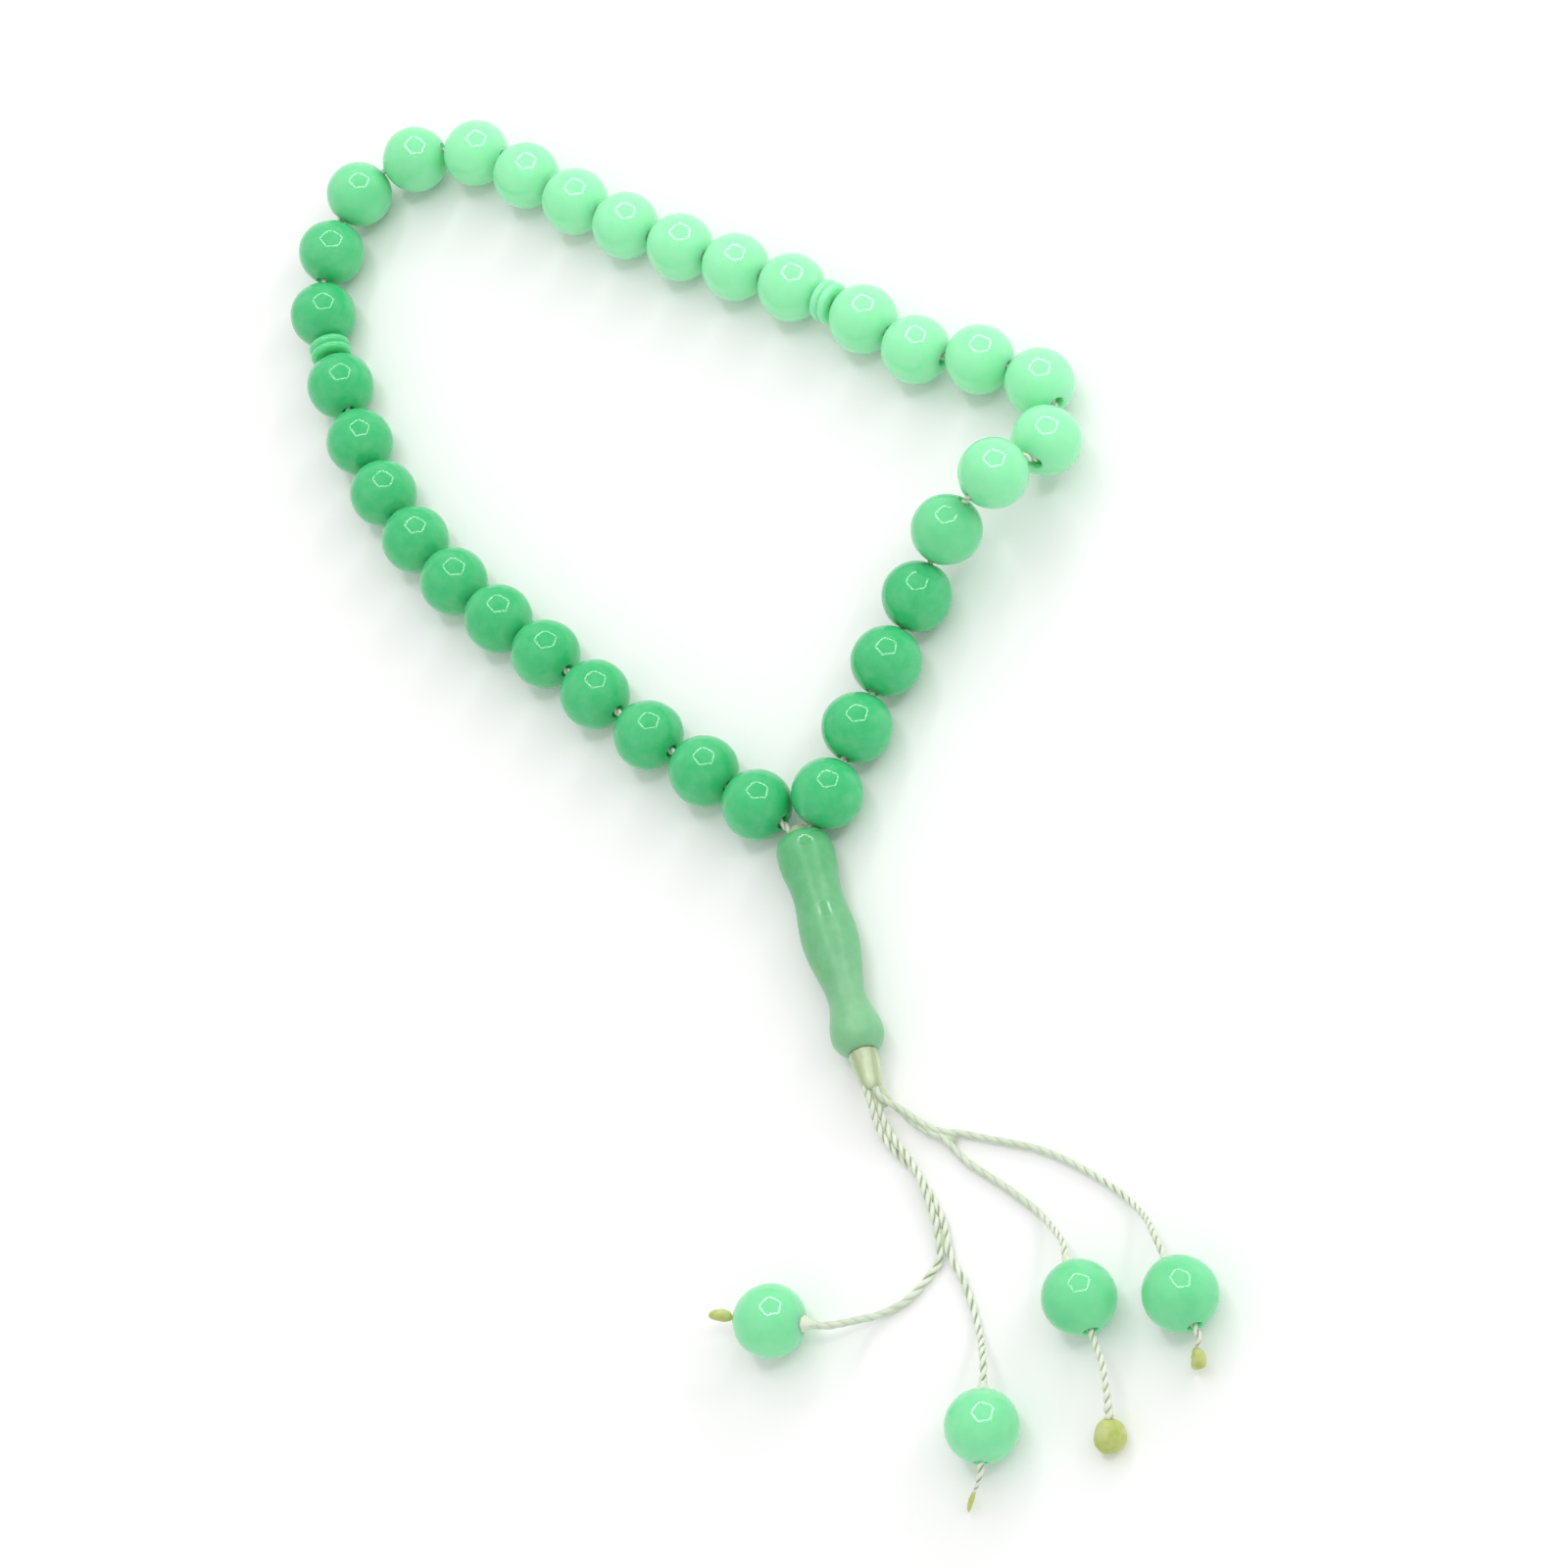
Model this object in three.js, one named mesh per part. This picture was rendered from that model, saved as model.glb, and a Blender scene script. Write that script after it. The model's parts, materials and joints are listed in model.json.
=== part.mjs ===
// Misbaha prayer beads lying on a flat surface, in millimetres, +Z up.
// The loop of 33 counting beads reaches towards +Y and the tassel lies towards -Y.
// The surface is z = 0, and the origin is the middle of the loop and head bead's footprint.
import * as THREE from "three";

// ---- Driving dimensions ----
const BEAD_DIAMETER = 8;
const BEAD_BORE = 1.6;
const BEADS_PER_SET = 11;
const SETS = 3;
const DIVIDER_DIAMETER = 5;
const DIVIDER_THICKNESS = 2.2;
const DIVIDER_GROOVE_DIAMETER = 4.2;
const HEAD_LENGTH = 27;
const HEAD_RADIUS = 3.2;
const HEAD_BORE = 2.7;
const LOOP_THREAD = 0.8;
const STRAND = 1.0;
const TRUNK = 1.6;
const NECK_LENGTH = 4.2;
const NECK_SPIGOT = 4;
const LEG_OFFSET = 0.55; // of each thread leg from the axis of the head bead's bore
const LEG_ENTRY = 0.4; // how far inside the bore a leg is straight again
const LEG_CLEARANCE = 2; // from the end of a leg to the neck's spigot
const FIRST_PALE_BEAD = 14;
const LAST_PALE_BEAD = 28;

const SNUG_GAP = 0.22; // between two neighbouring beads on the thread
const JOIN_GAP = 0.3; // between cord solids that meet face to face
const BEAD_SIDES = 14;
const BEAD_ARCS = 8;
const HEAD_SIDES = 16;
const CORD_SIDES = 8;
const WALK_STEP = 0.00002; // of the loop route, when beads are set out along it

const UP = new THREE.Vector3(0, 0, 1);
const beadRadius = BEAD_DIAMETER / 2;
const boreRadius = BEAD_BORE / 2;
const beadMouth = Math.sqrt(beadRadius ** 2 - boreRadius ** 2);

// ---- Routes, chosen by hand ----
// Centre line of the beads, from the first bead round to the last one. The string is slack, and at one
// corner it is crumpled, so one bead is pushed up on its neighbours.
const LOOP_ROUTE = [
  [-23, -35.3, 4], [-26, -18.5, 4], [-27.7, -1, 4], [-29.2, 16, 4], [-27.7, 32, 4],
  [-22, 48, 4], [-19.5, 53.5, 4], [-16.5, 58.5, 4], [-9.7, 64, 4], [-1.5, 66.5, 4], [5.7, 62.5, 4],
  [10.5, 56, 4], [12, 48, 4], [15.7, 32, 4], [20.8, 16, 4], [24.8, 3, 4], [26.9, -8.8, 4],
  [30.9, -16.1, 4], [32.9, -24.3, 4], [27.5, -30.7, 6], [20.7, -31.1, 10.4], [13.3, -29.9, 7],
  [5.5, -31.5, 4], [-9, -37.5, 4], [-16.7, -40.7, 4], [-19.5, -41.7, 4],
];
// Extra thread that shows after these counting beads, because the string isn't pulled tight.
const SLACK_AFTER = { 2: 0.5, 3: 0.8, 4: 0.6, 10: 0.3, 12: 0.3, 26: 0.2, 27: 0.3, 28: 0.3 };

const HEAD_TOP = [-22.2, -41.7, 3.2];
const HEAD_HEADING = -116.2; // degrees from +X, from the loop end to the tassel end

const TRUNKS = [
  {
    name: "trunk_left",
    route: [
      [-37.1, -69.9, 3], [-37.5, -71.3, 2.4], [-38.1, -72.5, 1.7], [-38.6, -73.9, 1.1],
      [-38.8, -75.7, 0.9], [-39.1, -79.5, 0.9], [-40.2, -83.1, 0.9], [-41.1, -85.5, 0.9],
      [-42.4, -87.5, 0.9],
    ],
  },
  {
    name: "trunk_right",
    route: [
      [-35.1, -70.3, 3], [-35.4, -71.3, 2.3], [-35.6, -72.5, 1.5], [-35.5, -73.9, 1],
      [-35.3, -75.5, 0.9], [-34.9, -77.1, 0.9], [-34.3, -78.4, 0.9],
    ],
  },
];

// Each strand runs along the surface, rises straight into its bead and comes out on the other side.
const STRANDS = [
  {
    route: [
      [-44, -88.4, 0.55], [-45.7, -88.7, 0.55], [-47.7, -88.9, 0.55], [-49.5, -88.8, 0.55],
      [-51.2, -88.3, 0.6], [-52.8, -87.7, 1], [-54.2, -87.1, 1.9], [-55.5, -86.7, 3.2],
    ],
    bead: [-61, -80.7, 4],
    heading: 128,
    leadIn: 2.5,
    leadOut: 0.3,
    tail: [],
  },
  {
    route: [
      [-43, -89.6, 0.55], [-43.4, -91.5, 0.55], [-44.2, -93.5, 0.55], [-45.1, -95.5, 0.6],
      [-45.9, -97.3, 1.1], [-46.6, -99.1, 2.2], [-47.2, -100.5, 3.4],
    ],
    bead: [-52.4, -106.4, 4],
    heading: -134,
    leadIn: 2.5,
    leadOut: 0.6,
    tail: [[-56.3, -110.1, 3.7], [-57.1, -110.2, 3], [-57.7, -110.1, 2.3]],
  },
  {
    route: [
      [-34.5, -80.5, 0.55], [-34.5, -82.5, 0.55], [-34.1, -84.8, 0.55], [-33.6, -87.3, 0.55],
      [-33.2, -89.9, 0.55], [-32.9, -92.5, 0.6], [-32.9, -94.8, 1.4], [-33, -96.9, 2.7],
      [-33.3, -98.7, 3.7],
    ],
    bead: [-36, -104.2, 4],
    heading: -114.5,
    leadIn: 0.8,
    leadOut: 4,
    tail: [[-40.9, -113.5, 3.4], [-42.5, -115.1, 2.3]],
  },
  {
    route: [
      [-32.8, -79.8, 0.55], [-31.4, -82.1, 0.55], [-29.8, -84.7, 0.55], [-28.3, -87.3, 0.55],
      [-27.2, -90, 0.55], [-26.2, -93.5, 0.55], [-25.5, -97, 0.55], [-25.3, -99.5, 0.7],
      [-25.3, -101.5, 1.5], [-25.5, -103.3, 2.7], [-25.9, -104.8, 3.6],
    ],
    bead: [-28.4, -111.9, 4],
    heading: -110,
    leadIn: 2.5,
    leadOut: 0.5,
    tail: [[-30.3, -116.6, 3.6], [-30.9, -116.8, 3]],
  },
];

// The sealed or knotted end of each strand: a turned solid from its first point towards its second.
const STRAND_ENDS = [
  { name: "end_blob_1", from: [-63.9, -77, 3.9], to: [-65, -75.6, 3.7], radii: [0, 0.7, 0.85, 0.6, 0] },
  { name: "end_tip_2", from: [-58, -110.1, 2], to: [-59.7, -110.5, 0.5], radii: [0, 0.4, 0.32, 0.25, 0] },
  { name: "end_knot_3", from: [-42.8, -115.3, 2], to: [-45.4, -117.8, 1.7], radii: [0, 1.3, 1.65, 1.3, 0] },
  { name: "end_knot_4", from: [-31.3, -116.9, 2.8], to: [-32.9, -117.2, 1], radii: [0, 0.75, 0.85, 0.8, 0] },
];

// ---- Materials ----
const resin = (colour) => new THREE.MeshStandardMaterial({ color: colour, roughness: 0.25, metalness: 0 });
const cordMaterial = new THREE.MeshStandardMaterial({ color: 0xe1ebcd, roughness: 0.8, metalness: 0 });
const sealedMaterial = new THREE.MeshStandardMaterial({ color: 0xbec86e, roughness: 0.45, metalness: 0 });
const DEEP_GREEN = 0x50c882;
const PALE_GREEN = 0x96f5b9;

// ---- Shapes ----
const vector = (point) => new THREE.Vector3(...point);

function direction(headingDegrees) {
  const angle = THREE.MathUtils.degToRad(headingDegrees);
  return new THREE.Vector3(Math.cos(angle), Math.sin(angle), 0);
}

// A solid of revolution about Y. Its flats, not its corners, lie at the outline's radius.
function turned(outline, sides) {
  const flatness = 1 / Math.cos(Math.PI / sides);
  const points = outline.map(([radius, height]) => new THREE.Vector2(radius * flatness, height));
  return new THREE.LatheGeometry(points, sides).rotateY(Math.PI / sides);
}

// Puts a turned solid's axis along a direction, with one of its flats facing straight down.
function aim(mesh, centre, axis) {
  const upright = UP.clone().addScaledVector(axis, -UP.dot(axis)).normalize();
  const side = new THREE.Vector3().crossVectors(axis, upright);
  mesh.quaternion.setFromRotationMatrix(new THREE.Matrix4().makeBasis(side, axis, upright));
  mesh.position.copy(centre);
  return mesh;
}

function beadGeometry() {
  const mouthAngle = Math.asin(boreRadius / beadRadius);
  const outline = [];
  for (let i = 0; i <= BEAD_ARCS; i += 1) {
    const angle = mouthAngle + ((Math.PI - 2 * mouthAngle) * i) / BEAD_ARCS;
    outline.push([beadRadius * Math.sin(angle), -beadRadius * Math.cos(angle)]);
  }
  outline.push(outline[0]);
  return turned(outline, BEAD_SIDES);
}

// A flat disc whose rounded rim has one groove round its middle.
function dividerGeometry() {
  const face = DIVIDER_THICKNESS / 2;
  const rim = DIVIDER_DIAMETER / 2;
  const groove = DIVIDER_GROOVE_DIAMETER / 2;
  const half = [[boreRadius, face], [rim - 0.6, face], [rim - 0.1, face - 0.25], [rim, face - 0.6]];
  const lower = half.map(([radius, height]) => [radius, -height]);
  const outline = [...lower, [groove, 0], ...half.reverse(), lower[0]];
  return turned(outline, BEAD_SIDES);
}

// The head bead: a flat band near the top, a waist, a swell, a slim neck and a small rounded foot.
function headGeometry() {
  const bore = HEAD_BORE / 2;
  const outside = [
    [bore + 0.4, 0], [2.1, 0], [2.75, 0.5], [3.1, 1.3], [HEAD_RADIUS, 2.3], [HEAD_RADIUS, 3.5],
    [2.95, 5.2], [2.72, 7.7], [2.95, 10.2], [3.15, 12.8], [2.95, 15.2], [2.5, 17.5], [2.12, 19.8],
    [2.35, 22], [2.85, 23.9], [2.92, 24.8], [2.6, 26], [2, 26.7], [bore + 0.2, HEAD_LENGTH],
  ];
  const outline = [...outside, [bore, HEAD_LENGTH], [bore, 0.5], outside[0]];
  return turned(outline, HEAD_SIDES);
}

// The glued bundle under the head bead, with a spigot that goes up its bore.
function neckGeometry() {
  const outline = [
    [0, -NECK_SPIGOT], [1.1, -NECK_SPIGOT], [1.1, 0.1], [1.5, JOIN_GAP], [1.45, 1],
    [1.2, NECK_LENGTH - 1], [1.05, NECK_LENGTH], [0, NECK_LENGTH],
  ];
  return turned(outline, HEAD_SIDES);
}

// A route with one cord section exactly at each of its stations.
class Stations extends THREE.Curve {
  constructor(points) {
    super();
    this.points = points;
  }

  getUtoTmapping(u) {
    return u;
  }

  getPoint(t, target = new THREE.Vector3()) {
    const place = THREE.MathUtils.clamp(t, 0, 1) * (this.points.length - 1);
    const index = Math.min(Math.floor(place), this.points.length - 2);
    return target.lerpVectors(this.points[index], this.points[index + 1], place - index);
  }
}

function cordGeometry(points, diameter) {
  const section = new THREE.Shape();
  for (let i = 0; i < CORD_SIDES; i += 1) {
    const angle = (2 * Math.PI * i) / CORD_SIDES;
    const corner = [(diameter / 2) * Math.cos(angle), (diameter / 2) * Math.sin(angle)];
    if (i === 0) section.moveTo(...corner);
    else section.lineTo(...corner);
  }
  section.closePath();
  return new THREE.ExtrudeGeometry(section, {
    steps: points.length - 1,
    extrudePath: new Stations(points),
    bevelEnabled: false,
  });
}

// A turned solid between two points, from the radii at even steps along it.
function endGeometry(length, radii) {
  const step = length / (radii.length - 1);
  return turned(radii.map((radius, i) => [radius, i * step]), CORD_SIDES);
}

// ---- Setting out the string ----
const headAxis = direction(HEAD_HEADING);
const headTop = vector(HEAD_TOP);
const headFoot = headTop.clone().addScaledVector(headAxis, HEAD_LENGTH);

// The order of beads and dividers along the thread, each with half its length along it.
function stringOrder() {
  const order = [];
  for (let bead = 1; bead <= BEADS_PER_SET * SETS; bead += 1) {
    order.push({ bead, half: beadRadius, mouth: beadMouth, slack: SLACK_AFTER[bead] ?? 0 });
    const endsSet = bead % BEADS_PER_SET === 0;
    const divider = bead / BEADS_PER_SET;
    if (endsSet && divider < SETS) {
      order.push({ divider, half: DIVIDER_THICKNESS / 2, mouth: DIVIDER_THICKNESS / 2, slack: 0 });
    }
  }
  return order;
}

// A bead's centre on the route, never lower than a bead that lies on the surface.
function restingPoint(curve, t) {
  const point = curve.getPoint(t);
  point.z = Math.max(point.z, beadRadius);
  return point;
}

function nextAlong(curve, from, distance) {
  const start = restingPoint(curve, from);
  let t = from;
  while (restingPoint(curve, t).distanceTo(start) < distance) t += WALK_STEP;
  return t;
}

// Walks along the route, so that neighbours stay apart even where the string is crumpled.
function setOut(order) {
  const curve = new THREE.CatmullRomCurve3(LOOP_ROUTE.map(vector), false, "centripetal");
  let t = 0;
  order.forEach((item, i) => {
    if (i > 0) {
      const before = order[i - 1];
      t = nextAlong(curve, t, before.half + item.half + SNUG_GAP + before.slack);
    }
    item.centre = restingPoint(curve, t);
  });
  order.forEach((item, i) => {
    const before = i > 0 ? order[i - 1].centre : headTop;
    const after = i < order.length - 1 ? order[i + 1].centre : headTop;
    const incoming = item.centre.clone().sub(before).normalize();
    const outgoing = after.clone().sub(item.centre).normalize();
    item.axis = incoming.add(outgoing).normalize();
  });
  return order;
}

// The loop thread: straight in every bore, from one leg in the head bead round to the other.
function loopThread(order) {
  const legDepth = HEAD_LENGTH - NECK_SPIGOT - LEG_CLEARANCE;
  const across = new THREE.Vector3().crossVectors(headAxis, UP);
  const leg = (side, depth) =>
    headTop.clone().addScaledVector(across, side * LEG_OFFSET).addScaledVector(headAxis, depth);
  const firstSide = Math.sign(order[0].centre.clone().sub(headTop).dot(across));
  const points = [leg(firstSide, legDepth), leg(firstSide, LEG_ENTRY)];
  for (const item of order) {
    points.push(item.centre.clone().addScaledVector(item.axis, -item.mouth));
    points.push(item.centre.clone().addScaledVector(item.axis, item.mouth));
  }
  points.push(leg(-firstSide, LEG_ENTRY), leg(-firstSide, legDepth));
  return points;
}

// ---- Assembly ----
const misbaha = new THREE.Group();

function add(name, geometry, material) {
  const mesh = new THREE.Mesh(geometry, material);
  mesh.name = name;
  misbaha.add(mesh);
  return mesh;
}

const order = setOut(stringOrder());
for (const item of order) {
  if (item.bead) {
    const pale = item.bead >= FIRST_PALE_BEAD && item.bead <= LAST_PALE_BEAD;
    const name = `counting_bead_${String(item.bead).padStart(2, "0")}`;
    aim(add(name, beadGeometry(), resin(pale ? PALE_GREEN : DEEP_GREEN)), item.centre, item.axis);
  } else {
    aim(add(`divider_disc_${item.divider}`, dividerGeometry(), resin(PALE_GREEN)), item.centre, item.axis);
  }
}
add("loop_thread", cordGeometry(loopThread(order), LOOP_THREAD), cordMaterial);
aim(add("imame_head", headGeometry(), resin(DEEP_GREEN)), headTop, headAxis);
aim(add("tassel_neck", neckGeometry(), cordMaterial), headFoot, headAxis);

for (const trunk of TRUNKS) {
  add(trunk.name, cordGeometry(trunk.route.map(vector), TRUNK), cordMaterial);
}

STRANDS.forEach((strand, i) => {
  const centre = vector(strand.bead);
  const axis = direction(strand.heading);
  const points = [
    ...strand.route.map(vector),
    centre.clone().addScaledVector(axis, -beadRadius - strand.leadIn),
    centre.clone().addScaledVector(axis, beadRadius + strand.leadOut),
    ...strand.tail.map(vector),
  ];
  add(`strand_${i + 1}`, cordGeometry(points, STRAND), cordMaterial);
  aim(add(`tassel_bead_${i + 1}`, beadGeometry(), resin(PALE_GREEN)), centre, axis);
});

for (const end of STRAND_ENDS) {
  const from = vector(end.from);
  const along = vector(end.to).sub(from);
  const mesh = add(end.name, endGeometry(along.length(), end.radii), sealedMaterial);
  aim(mesh, from, along.normalize());
}

export default misbaha;
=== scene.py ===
import json
import math

import bmesh
import bpy
import numpy as np
from mathutils import Matrix, Quaternion, Vector


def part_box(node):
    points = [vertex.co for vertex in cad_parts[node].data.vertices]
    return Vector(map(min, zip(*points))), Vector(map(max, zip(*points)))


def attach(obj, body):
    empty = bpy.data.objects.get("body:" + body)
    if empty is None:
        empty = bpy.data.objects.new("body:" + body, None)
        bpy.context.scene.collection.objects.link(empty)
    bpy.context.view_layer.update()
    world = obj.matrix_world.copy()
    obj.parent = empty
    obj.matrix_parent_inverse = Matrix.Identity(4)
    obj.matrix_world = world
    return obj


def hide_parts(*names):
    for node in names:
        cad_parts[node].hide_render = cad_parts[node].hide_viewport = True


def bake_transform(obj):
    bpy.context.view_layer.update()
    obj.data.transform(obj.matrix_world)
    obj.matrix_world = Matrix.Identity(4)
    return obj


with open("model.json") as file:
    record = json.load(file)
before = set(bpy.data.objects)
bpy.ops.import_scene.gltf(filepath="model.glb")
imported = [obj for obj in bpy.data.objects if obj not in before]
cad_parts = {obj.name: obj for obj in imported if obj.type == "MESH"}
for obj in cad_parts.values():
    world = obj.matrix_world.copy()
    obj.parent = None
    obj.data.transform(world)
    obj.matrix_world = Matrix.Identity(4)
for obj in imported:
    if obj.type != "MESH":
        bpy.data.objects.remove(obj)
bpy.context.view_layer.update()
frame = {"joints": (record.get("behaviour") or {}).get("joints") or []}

MM = 0.001

# ---- Sizes ----
BEAD_RADIUS = 4 * MM
BORE_RADIUS = 0.8 * MM
MOUTH_ROUNDING = 0.22 * MM
HEAD_LENGTH = 27 * MM
NECK_LENGTH = 4.2 * MM
STRAND_PITCHES = [(-10, 2.6), (2, 3.4), (10, 3.2), (24, 2.2)]  # mm from the branch, mm for a full turn
THREAD_DIAMETER = 0.8 * MM
THREAD_PITCH = 2.2 * MM
PAIR_OFFSET = {"left": 0.42 * MM, "right": 0.28 * MM}  # of each strand from the middle of its pair
PAIR_PITCH = 30 * MM
LEG_OFFSET = 0.55 * MM  # of each leg of the loop thread from the middle of the head's bore
LEG_DEPTH = 21 * MM
CORD_STEP = 0.16 * MM
PAIR_STEP = 0.4 * MM
TAPERED_POINTS = 24
LOWEST_CORD_LINE = 0.53 * MM  # height of a cord's middle where it lies on the surface
HUG_AT = 2.8 * MM  # from the neck, where the strands lean most towards the other trunk
HUG_SPREAD = 1.5 * MM
START_IN_NECK = 2 * MM
START_OFFSET = 0.42 * MM
DOME_CLEARANCE = 0.08 * MM  # between the dome of glue and the beads beside it

BEAD_SIDES = 56
HEAD_SIDES = 72
PLY_SIDES = 10
FLARE_SIDES = 32
DOME_SIDES = 40
BLOB_SIDES = 28
WEB_SIDES = 24

FIRST_PALE_BEAD = 14
LAST_PALE_BEAD = 28
# A tone for each bead, from deep green at 0 to pale green at 1.
TONED_BEADS = (12, 13, 14, 16, 19, 26, 28, 30)
BEAD_TONES = (0, 0.15, 0.5, 0.95, 1, 1, 0.8, 0)
TASSEL_TONES = (0.62, 0.62, 0.44, 0.44)
DIVIDER_TONES = (0.25, 0.9)
PALE_FROM_TONE = 0.5
TASSEL_SEEDS = 40  # tassel bead 1 is shaped with seed 41, and so on

# How smooth hardened glue is, from bare fibre at 0 to glassy at 1.
WEB_GLAZE = 0.4
FLARE_GLAZE = 0.8
DOME_GLAZE = 0.9
THREAD_GLAZE = 0.3

FLOOR_SIDE = 3.0
FLOOR_DROP = 0.00005  # the floor lies this far under the part, so that the two never share a plane
SKY_STRENGTH = 0.78

# ---- Camera: high over the tassel end, rolled so that the tassel points down and to the right ----
CAMERA_PLACE = Vector((-0.0193, -0.2874, 0.4252))
CAMERA_TARGET = Vector((-0.0193, -0.0335, 0.0))
CAMERA_ROLL = math.radians(-45.8)
CAMERA_LENS = 101.6

camera = bpy.data.objects.new("camera", bpy.data.cameras.new("camera"))
bpy.context.scene.collection.objects.link(camera)
camera.data.lens = CAMERA_LENS
camera.data.clip_start = 0.01
camera.data.clip_end = 20
camera.location = CAMERA_PLACE
camera.rotation_mode = "QUATERNION"
looking = (CAMERA_TARGET - CAMERA_PLACE).to_track_quat("-Z", "Y")
camera.rotation_quaternion = looking @ Quaternion((0, 0, 1), CAMERA_ROLL)
bpy.context.scene.camera = camera

# ---- Routes, the same points as the CAD solids follow ----
TRUNKS = {
    "left": [
        (-37.1, -69.9, 3), (-37.5, -71.3, 2.4), (-38.1, -72.5, 1.7), (-38.6, -73.9, 1.1),
        (-38.8, -75.7, 0.9), (-39.1, -79.5, 0.9), (-40.2, -83.1, 0.9), (-41.1, -85.5, 0.9),
        (-42.4, -87.5, 0.9),
    ],
    "right": [
        (-35.1, -70.3, 3), (-35.4, -71.3, 2.3), (-35.6, -72.5, 1.5), (-35.5, -73.9, 1),
        (-35.3, -75.5, 0.9), (-34.9, -77.1, 0.9), (-34.3, -78.4, 0.9),
    ],
}
# Of each strand: thickness is in millimetres, and end_thickness is the share of it at the tip. hug is how
# far the strand lies over to the other trunk near the neck. side is where it lies in its pair where the
# pair parts, and away is the way it leaves. glaze is how smooth the glue makes it, at distances in
# millimetres from the branch.
STRANDS = [
    {
        "trunk": "left",
        "thickness": 0.85,
        "end_thickness": 0.8,
        "hug": (0.4, -0.08, 0),
        "side": (-0.8, 0.6, 0),
        "away": (-1, -0.1, 0),
        "route": [
            (-44, -88.4, 0.55), (-45.7, -88.7, 0.55), (-47.7, -88.9, 0.55), (-49.5, -88.8, 0.55),
            (-51.2, -88.3, 0.6), (-52.8, -87.7, 1), (-54.2, -87.1, 1.9), (-55.5, -86.7, 3.2),
        ],
        "heading": 128,
        "lead_in": 2.5,
        "lead_out": 0.3,
        "tail": [],
        "glaze": [(-19, 0.4), (-12, 0.1), (-2, 0.2), (4, 0.1), (8, 0.85), (12, 0.97), (18, 0.97), (21, 0.3)],
    },
    {
        "trunk": "left",
        "thickness": 0.85,
        "end_thickness": 0.5,
        "hug": (0.45, -0.08, 0),
        "side": (0.8, -0.6, 0),
        "away": (-0.2, -1, 0),
        "route": [
            (-43, -89.6, 0.55), (-43.4, -91.5, 0.55), (-44.2, -93.5, 0.55), (-45.1, -95.5, 0.6),
            (-45.9, -97.3, 1.1), (-46.6, -99.1, 2.2), (-47.2, -100.5, 3.4),
        ],
        "heading": -134,
        "lead_in": 2.5,
        "lead_out": 0.6,
        "tail": [(-56.3, -110.1, 3.7), (-57.1, -110.2, 3), (-57.7, -110.1, 2.3)],
        "glaze": [(-19, 0.4), (-12, 0.1), (-2, 0.2), (4, 0.1)],
    },
    {
        "trunk": "right",
        "thickness": 0.78,
        "end_thickness": 1.4,
        "hug": (-0.4, 0.08, 0),
        "side": (-1, 0.2, 0),
        "away": (0, -1, 0),
        "route": [
            (-34.5, -80.5, 0.55), (-34.5, -82.5, 0.55), (-34.1, -84.8, 0.55), (-33.6, -87.3, 0.55),
            (-33.2, -89.9, 0.55), (-32.9, -92.5, 0.6), (-32.9, -94.8, 1.4), (-33, -96.9, 2.7),
            (-33.3, -98.7, 3.7),
        ],
        "heading": -114.5,
        "lead_in": 0.8,
        "lead_out": 4,
        "tail": [(-40.9, -113.5, 3.4), (-42.5, -115.1, 2.3)],
        "glaze": [(-9, 0.85), (-5, 0.95), (12, 0.95), (18, 0.15)],
    },
    {
        "trunk": "right",
        "thickness": 0.75,
        "end_thickness": 0.9,
        "hug": (-0.85, 0.05, 0.1),
        "side": (1, -0.2, 0),
        "away": (0.65, -0.76, 0),
        "route": [
            (-32.8, -79.8, 0.55), (-31.4, -82.1, 0.55), (-29.8, -84.7, 0.55), (-28.3, -87.3, 0.55),
            (-27.2, -90, 0.55), (-26.2, -93.5, 0.55), (-25.5, -97, 0.55), (-25.3, -99.5, 0.7),
            (-25.3, -101.5, 1.5), (-25.5, -103.3, 2.7), (-25.9, -104.8, 3.6),
        ],
        "heading": -110,
        "lead_in": 2.5,
        "lead_out": 0.5,
        "tail": [(-30.3, -116.6, 3.6), (-30.9, -116.8, 3)],
        "glaze": [(-9, 0.85), (-5, 0.95), (15, 0.9), (20, 0.15)],
    },
]


# ---- Points and lines ----
def unit(vector):
    vector = np.asarray(vector, float)
    return vector / np.linalg.norm(vector)


def mm(points):
    return np.array(points, float) * MM


def across(axis):
    """Two directions square to a level or sloping axis. The second is as near to upright as can be."""
    side = unit(np.cross(axis, (0, 0, 1)))
    return side, np.cross(side, axis)


def smooth_line(points, step):
    """Points at even steps along a centripetal Catmull-Rom curve through the given points."""
    points = np.asarray(points, float)
    points = np.vstack([2 * points[0] - points[1], points, 2 * points[-1] - points[-2]])
    share = np.linspace(0, 1, 24, endpoint=False)[:, None]
    pieces = []
    for a, b, c, d in zip(points, points[1:], points[2:], points[3:]):
        t1 = math.sqrt(np.linalg.norm(b - a))
        t2 = t1 + math.sqrt(np.linalg.norm(c - b))
        t3 = t2 + math.sqrt(np.linalg.norm(d - c))
        t = t1 + share * (t2 - t1)
        ab = a + (b - a) * t / t1
        bc = b + (c - b) * (t - t1) / (t2 - t1)
        cd = c + (d - c) * (t - t2) / (t3 - t2)
        abc = ab + (bc - ab) * t / t2
        bcd = bc + (cd - bc) * (t - t1) / (t3 - t1)
        pieces.append(abc + (bcd - abc) * (t - t1) / (t2 - t1))
    dense = np.vstack([*pieces, points[-2]])
    along = walked(dense)
    even = np.linspace(0, along[-1], max(2, round(along[-1] / step)))
    return np.column_stack([np.interp(even, along, dense[:, k]) for k in range(3)])


def walked(line):
    """How far along the line each of its points is."""
    return np.concatenate([[0], np.cumsum(np.linalg.norm(np.diff(line, axis=0), axis=1))])


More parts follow.
